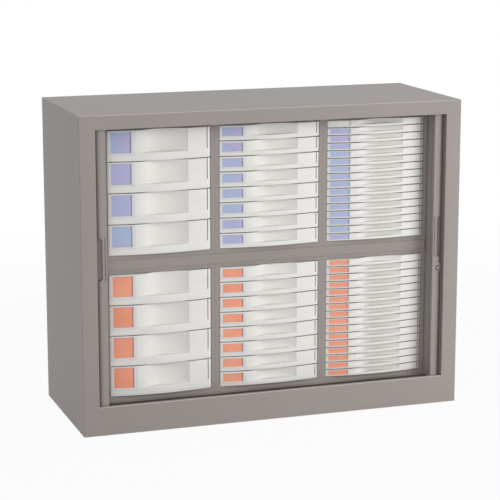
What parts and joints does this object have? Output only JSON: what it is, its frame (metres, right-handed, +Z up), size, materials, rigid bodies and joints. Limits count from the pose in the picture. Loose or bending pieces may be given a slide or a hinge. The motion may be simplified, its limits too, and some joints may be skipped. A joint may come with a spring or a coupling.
{
  "type": "tambour door drawer cabinet",
  "caption": "Low steel cabinet with two open tambour doors, a key lock, and columns of large, medium and slim plastic drawers with bowed fronts and scooped finger pulls.",
  "frame": {"origin": "on the floor under the middle of the cabinet's width and depth", "axes": "+X to the right seen from the front, +Y towards the back, +Z up"},
  "size_m": [1.2, 0.475, 0.955],
  "materials": {
    "taupe_paint": "fine textured satin powder coat, taupe grey",
    "inner_paint": "satin powder coat, taupe grey",
    "tambour_plastic": "matte extruded slats, taupe grey",
    "lead_bar_plastic": "satin moulded plastic, taupe grey",
    "ivory_plastic": "satin moulded plastic, ivory white",
    "runner_steel": "plain zinc-coated sheet",
    "track_plastic": "smooth dark slide strip",
    "lock_metal": "satin nickel"
  },
  "bodies": {
    "cabinet": {"top_panel": "taupe_paint", "left_side_panel": "taupe_paint", "right_side_panel": "taupe_paint", "plinth": "taupe_paint", "back_panel": "taupe_paint", "base_panel": "inner_paint", "ceiling_panel": "inner_paint", "left_inner_upright": "inner_paint", "right_inner_upright": "inner_paint", "middle_shelf": "inner_paint", "shelf_brackets": "inner_paint", "drawer_casings": "inner_paint", "drawer_runners": "runner_steel", "curtain_tracks": "track_plastic", "left_tambour_curtain": "tambour_plastic", "right_tambour_curtain": "tambour_plastic"},
    "left_door": {"left_lead_bar": "lead_bar_plastic"},
    "right_door": {"right_lead_bar": "lead_bar_plastic"},
    "lock": {"lock_barrel": "lock_metal", "lock_cam": "lock_metal"},
    "large_drawer_upper_1": {"large_drawer_upper_1": "ivory_plastic"},
    "large_drawer_upper_2": {"large_drawer_upper_2": "ivory_plastic"},
    "large_drawer_upper_3": {"large_drawer_upper_3": "ivory_plastic"},
    "large_drawer_upper_4": {"large_drawer_upper_4": "ivory_plastic"},
    "large_drawer_lower_1": {"large_drawer_lower_1": "ivory_plastic"},
    "large_drawer_lower_2": {"large_drawer_lower_2": "ivory_plastic"},
    "large_drawer_lower_3": {"large_drawer_lower_3": "ivory_plastic"},
    "large_drawer_lower_4": {"large_drawer_lower_4": "ivory_plastic"},
    "medium_drawer_upper_1": {"medium_drawer_upper_1": "ivory_plastic"},
    "medium_drawer_upper_2": {"medium_drawer_upper_2": "ivory_plastic"},
    "medium_drawer_upper_3": {"medium_drawer_upper_3": "ivory_plastic"},
    "medium_drawer_upper_4": {"medium_drawer_upper_4": "ivory_plastic"},
    "medium_drawer_upper_5": {"medium_drawer_upper_5": "ivory_plastic"},
    "medium_drawer_upper_6": {"medium_drawer_upper_6": "ivory_plastic"},
    "medium_drawer_upper_7": {"medium_drawer_upper_7": "ivory_plastic"},
    "medium_drawer_upper_8": {"medium_drawer_upper_8": "ivory_plastic"},
    "medium_drawer_lower_1": {"medium_drawer_lower_1": "ivory_plastic"},
    "medium_drawer_lower_2": {"medium_drawer_lower_2": "ivory_plastic"},
    "medium_drawer_lower_3": {"medium_drawer_lower_3": "ivory_plastic"},
    "medium_drawer_lower_4": {"medium_drawer_lower_4": "ivory_plastic"},
    "medium_drawer_lower_5": {"medium_drawer_lower_5": "ivory_plastic"},
    "medium_drawer_lower_6": {"medium_drawer_lower_6": "ivory_plastic"},
    "medium_drawer_lower_7": {"medium_drawer_lower_7": "ivory_plastic"},
    "medium_drawer_lower_8": {"medium_drawer_lower_8": "ivory_plastic"},
    "slim_drawer_pair_upper_1": {"slim_drawer_pair_upper_1": "ivory_plastic"},
    "slim_drawer_pair_upper_2": {"slim_drawer_pair_upper_2": "ivory_plastic"},
    "slim_drawer_pair_upper_3": {"slim_drawer_pair_upper_3": "ivory_plastic"},
    "slim_drawer_pair_upper_4": {"slim_drawer_pair_upper_4": "ivory_plastic"},
    "slim_drawer_pair_upper_5": {"slim_drawer_pair_upper_5": "ivory_plastic"},
    "slim_drawer_pair_upper_6": {"slim_drawer_pair_upper_6": "ivory_plastic"},
    "slim_drawer_pair_upper_7": {"slim_drawer_pair_upper_7": "ivory_plastic"},
    "slim_drawer_pair_upper_8": {"slim_drawer_pair_upper_8": "ivory_plastic"},
    "slim_drawer_pair_lower_1": {"slim_drawer_pair_lower_1": "ivory_plastic"},
    "slim_drawer_pair_lower_2": {"slim_drawer_pair_lower_2": "ivory_plastic"},
    "slim_drawer_pair_lower_3": {"slim_drawer_pair_lower_3": "ivory_plastic"},
    "slim_drawer_pair_lower_4": {"slim_drawer_pair_lower_4": "ivory_plastic"},
    "slim_drawer_pair_lower_5": {"slim_drawer_pair_lower_5": "ivory_plastic"},
    "slim_drawer_pair_lower_6": {"slim_drawer_pair_lower_6": "ivory_plastic"},
    "slim_drawer_pair_lower_7": {"slim_drawer_pair_lower_7": "ivory_plastic"},
    "slim_drawer_pair_lower_8": {"slim_drawer_pair_lower_8": "ivory_plastic"}
  },
  "joints": [
    {"name": "left_door_slide", "type": "slide", "parent": "cabinet", "child": "left_door", "axis": [-1, 0, 0], "range_m": [-0.5192, 0], "deforming": ["left_tambour_curtain"]},
    {"name": "right_door_slide", "type": "slide", "parent": "cabinet", "child": "right_door", "axis": [1, 0, 0], "range_m": [-0.5192, 0], "deforming": ["right_tambour_curtain"]},
    {"name": "lock_turn", "type": "hinge", "parent": "right_door", "child": "lock", "pos_m": [0.538, -0.2203, 0.431], "axis": [0, -1, 0], "range_deg": [0, 90]},
    {"name": "large_drawer_upper_2_slide", "type": "slide", "parent": "cabinet", "child": "large_drawer_upper_2", "axis": [0, -1, 0], "range_m": [0, 0.3]},
    {"name": "medium_drawer_upper_3_slide", "type": "slide", "parent": "cabinet", "child": "medium_drawer_upper_3", "axis": [0, -1, 0], "range_m": [0, 0.3]},
    {"name": "slim_drawer_pair_upper_4_slide", "type": "slide", "parent": "cabinet", "child": "slim_drawer_pair_upper_4", "axis": [0, -1, 0], "range_m": [0, 0.3]},
    {"name": "large_drawer_lower_2_slide", "type": "slide", "parent": "cabinet", "child": "large_drawer_lower_2", "axis": [0, -1, 0], "range_m": [0, 0.3]},
    {"name": "medium_drawer_lower_3_slide", "type": "slide", "parent": "cabinet", "child": "medium_drawer_lower_3", "axis": [0, -1, 0], "range_m": [0, 0.3]},
    {"name": "slim_drawer_pair_lower_4_slide", "type": "slide", "parent": "cabinet", "child": "slim_drawer_pair_lower_4", "axis": [0, -1, 0], "range_m": [0, 0.3]},
    {"name": "large_drawer_upper_1_slide", "type": "slide", "parent": "cabinet", "child": "large_drawer_upper_1", "axis": [0, -1, 0], "range_m": [0, 0.3]},
    {"name": "large_drawer_upper_3_slide", "type": "slide", "parent": "cabinet", "child": "large_drawer_upper_3", "axis": [0, -1, 0], "range_m": [0, 0.3]},
    {"name": "large_drawer_upper_4_slide", "type": "slide", "parent": "cabinet", "child": "large_drawer_upper_4", "axis": [0, -1, 0], "range_m": [0, 0.3]},
    {"name": "large_drawer_lower_1_slide", "type": "slide", "parent": "cabinet", "child": "large_drawer_lower_1", "axis": [0, -1, 0], "range_m": [0, 0.3]},
    {"name": "large_drawer_lower_3_slide", "type": "slide", "parent": "cabinet", "child": "large_drawer_lower_3", "axis": [0, -1, 0], "range_m": [0, 0.3]},
    {"name": "large_drawer_lower_4_slide", "type": "slide", "parent": "cabinet", "child": "large_drawer_lower_4", "axis": [0, -1, 0], "range_m": [0, 0.3]},
    {"name": "medium_drawer_upper_1_slide", "type": "slide", "parent": "cabinet", "child": "medium_drawer_upper_1", "axis": [0, -1, 0], "range_m": [0, 0.3]},
    {"name": "medium_drawer_upper_2_slide", "type": "slide", "parent": "cabinet", "child": "medium_drawer_upper_2", "axis": [0, -1, 0], "range_m": [0, 0.3]},
    {"name": "medium_drawer_upper_4_slide", "type": "slide", "parent": "cabinet", "child": "medium_drawer_upper_4", "axis": [0, -1, 0], "range_m": [0, 0.3]},
    {"name": "medium_drawer_upper_5_slide", "type": "slide", "parent": "cabinet", "child": "medium_drawer_upper_5", "axis": [0, -1, 0], "range_m": [0, 0.3]},
    {"name": "medium_drawer_upper_6_slide", "type": "slide", "parent": "cabinet", "child": "medium_drawer_upper_6", "axis": [0, -1, 0], "range_m": [0, 0.3]},
    {"name": "medium_drawer_upper_7_slide", "type": "slide", "parent": "cabinet", "child": "medium_drawer_upper_7", "axis": [0, -1, 0], "range_m": [0, 0.3]},
    {"name": "medium_drawer_upper_8_slide", "type": "slide", "parent": "cabinet", "child": "medium_drawer_upper_8", "axis": [0, -1, 0], "range_m": [0, 0.3]},
    {"name": "medium_drawer_lower_1_slide", "type": "slide", "parent": "cabinet", "child": "medium_drawer_lower_1", "axis": [0, -1, 0], "range_m": [0, 0.3]},
    {"name": "medium_drawer_lower_2_slide", "type": "slide", "parent": "cabinet", "child": "medium_drawer_lower_2", "axis": [0, -1, 0], "range_m": [0, 0.3]},
    {"name": "medium_drawer_lower_4_slide", "type": "slide", "parent": "cabinet", "child": "medium_drawer_lower_4", "axis": [0, -1, 0], "range_m": [0, 0.3]},
    {"name": "medium_drawer_lower_5_slide", "type": "slide", "parent": "cabinet", "child": "medium_drawer_lower_5", "axis": [0, -1, 0], "range_m": [0, 0.3]},
    {"name": "medium_drawer_lower_6_slide", "type": "slide", "parent": "cabinet", "child": "medium_drawer_lower_6", "axis": [0, -1, 0], "range_m": [0, 0.3]},
    {"name": "medium_drawer_lower_7_slide", "type": "slide", "parent": "cabinet", "child": "medium_drawer_lower_7", "axis": [0, -1, 0], "range_m": [0, 0.3]},
    {"name": "medium_drawer_lower_8_slide", "type": "slide", "parent": "cabinet", "child": "medium_drawer_lower_8", "axis": [0, -1, 0], "range_m": [0, 0.3]},
    {"name": "slim_drawer_pair_upper_1_slide", "type": "slide", "parent": "cabinet", "child": "slim_drawer_pair_upper_1", "axis": [0, -1, 0], "range_m": [0, 0.3]},
    {"name": "slim_drawer_pair_upper_2_slide", "type": "slide", "parent": "cabinet", "child": "slim_drawer_pair_upper_2", "axis": [0, -1, 0], "range_m": [0, 0.3]},
    {"name": "slim_drawer_pair_upper_3_slide", "type": "slide", "parent": "cabinet", "child": "slim_drawer_pair_upper_3", "axis": [0, -1, 0], "range_m": [0, 0.3]},
    {"name": "slim_drawer_pair_upper_5_slide", "type": "slide", "parent": "cabinet", "child": "slim_drawer_pair_upper_5", "axis": [0, -1, 0], "range_m": [0, 0.3]},
    {"name": "slim_drawer_pair_upper_6_slide", "type": "slide", "parent": "cabinet", "child": "slim_drawer_pair_upper_6", "axis": [0, -1, 0], "range_m": [0, 0.3]},
    {"name": "slim_drawer_pair_upper_7_slide", "type": "slide", "parent": "cabinet", "child": "slim_drawer_pair_upper_7", "axis": [0, -1, 0], "range_m": [0, 0.3]},
    {"name": "slim_drawer_pair_upper_8_slide", "type": "slide", "parent": "cabinet", "child": "slim_drawer_pair_upper_8", "axis": [0, -1, 0], "range_m": [0, 0.3]},
    {"name": "slim_drawer_pair_lower_1_slide", "type": "slide", "parent": "cabinet", "child": "slim_drawer_pair_lower_1", "axis": [0, -1, 0], "range_m": [0, 0.3]},
    {"name": "slim_drawer_pair_lower_2_slide", "type": "slide", "parent": "cabinet", "child": "slim_drawer_pair_lower_2", "axis": [0, -1, 0], "range_m": [0, 0.3]},
    {"name": "slim_drawer_pair_lower_3_slide", "type": "slide", "parent": "cabinet", "child": "slim_drawer_pair_lower_3", "axis": [0, -1, 0], "range_m": [0, 0.3]},
    {"name": "slim_drawer_pair_lower_5_slide", "type": "slide", "parent": "cabinet", "child": "slim_drawer_pair_lower_5", "axis": [0, -1, 0], "range_m": [0, 0.3]},
    {"name": "slim_drawer_pair_lower_6_slide", "type": "slide", "parent": "cabinet", "child": "slim_drawer_pair_lower_6", "axis": [0, -1, 0], "range_m": [0, 0.3]},
    {"name": "slim_drawer_pair_lower_7_slide", "type": "slide", "parent": "cabinet", "child": "slim_drawer_pair_lower_7", "axis": [0, -1, 0], "range_m": [0, 0.3]},
    {"name": "slim_drawer_pair_lower_8_slide", "type": "slide", "parent": "cabinet", "child": "slim_drawer_pair_lower_8", "axis": [0, -1, 0], "range_m": [0, 0.3]}
  ]
}
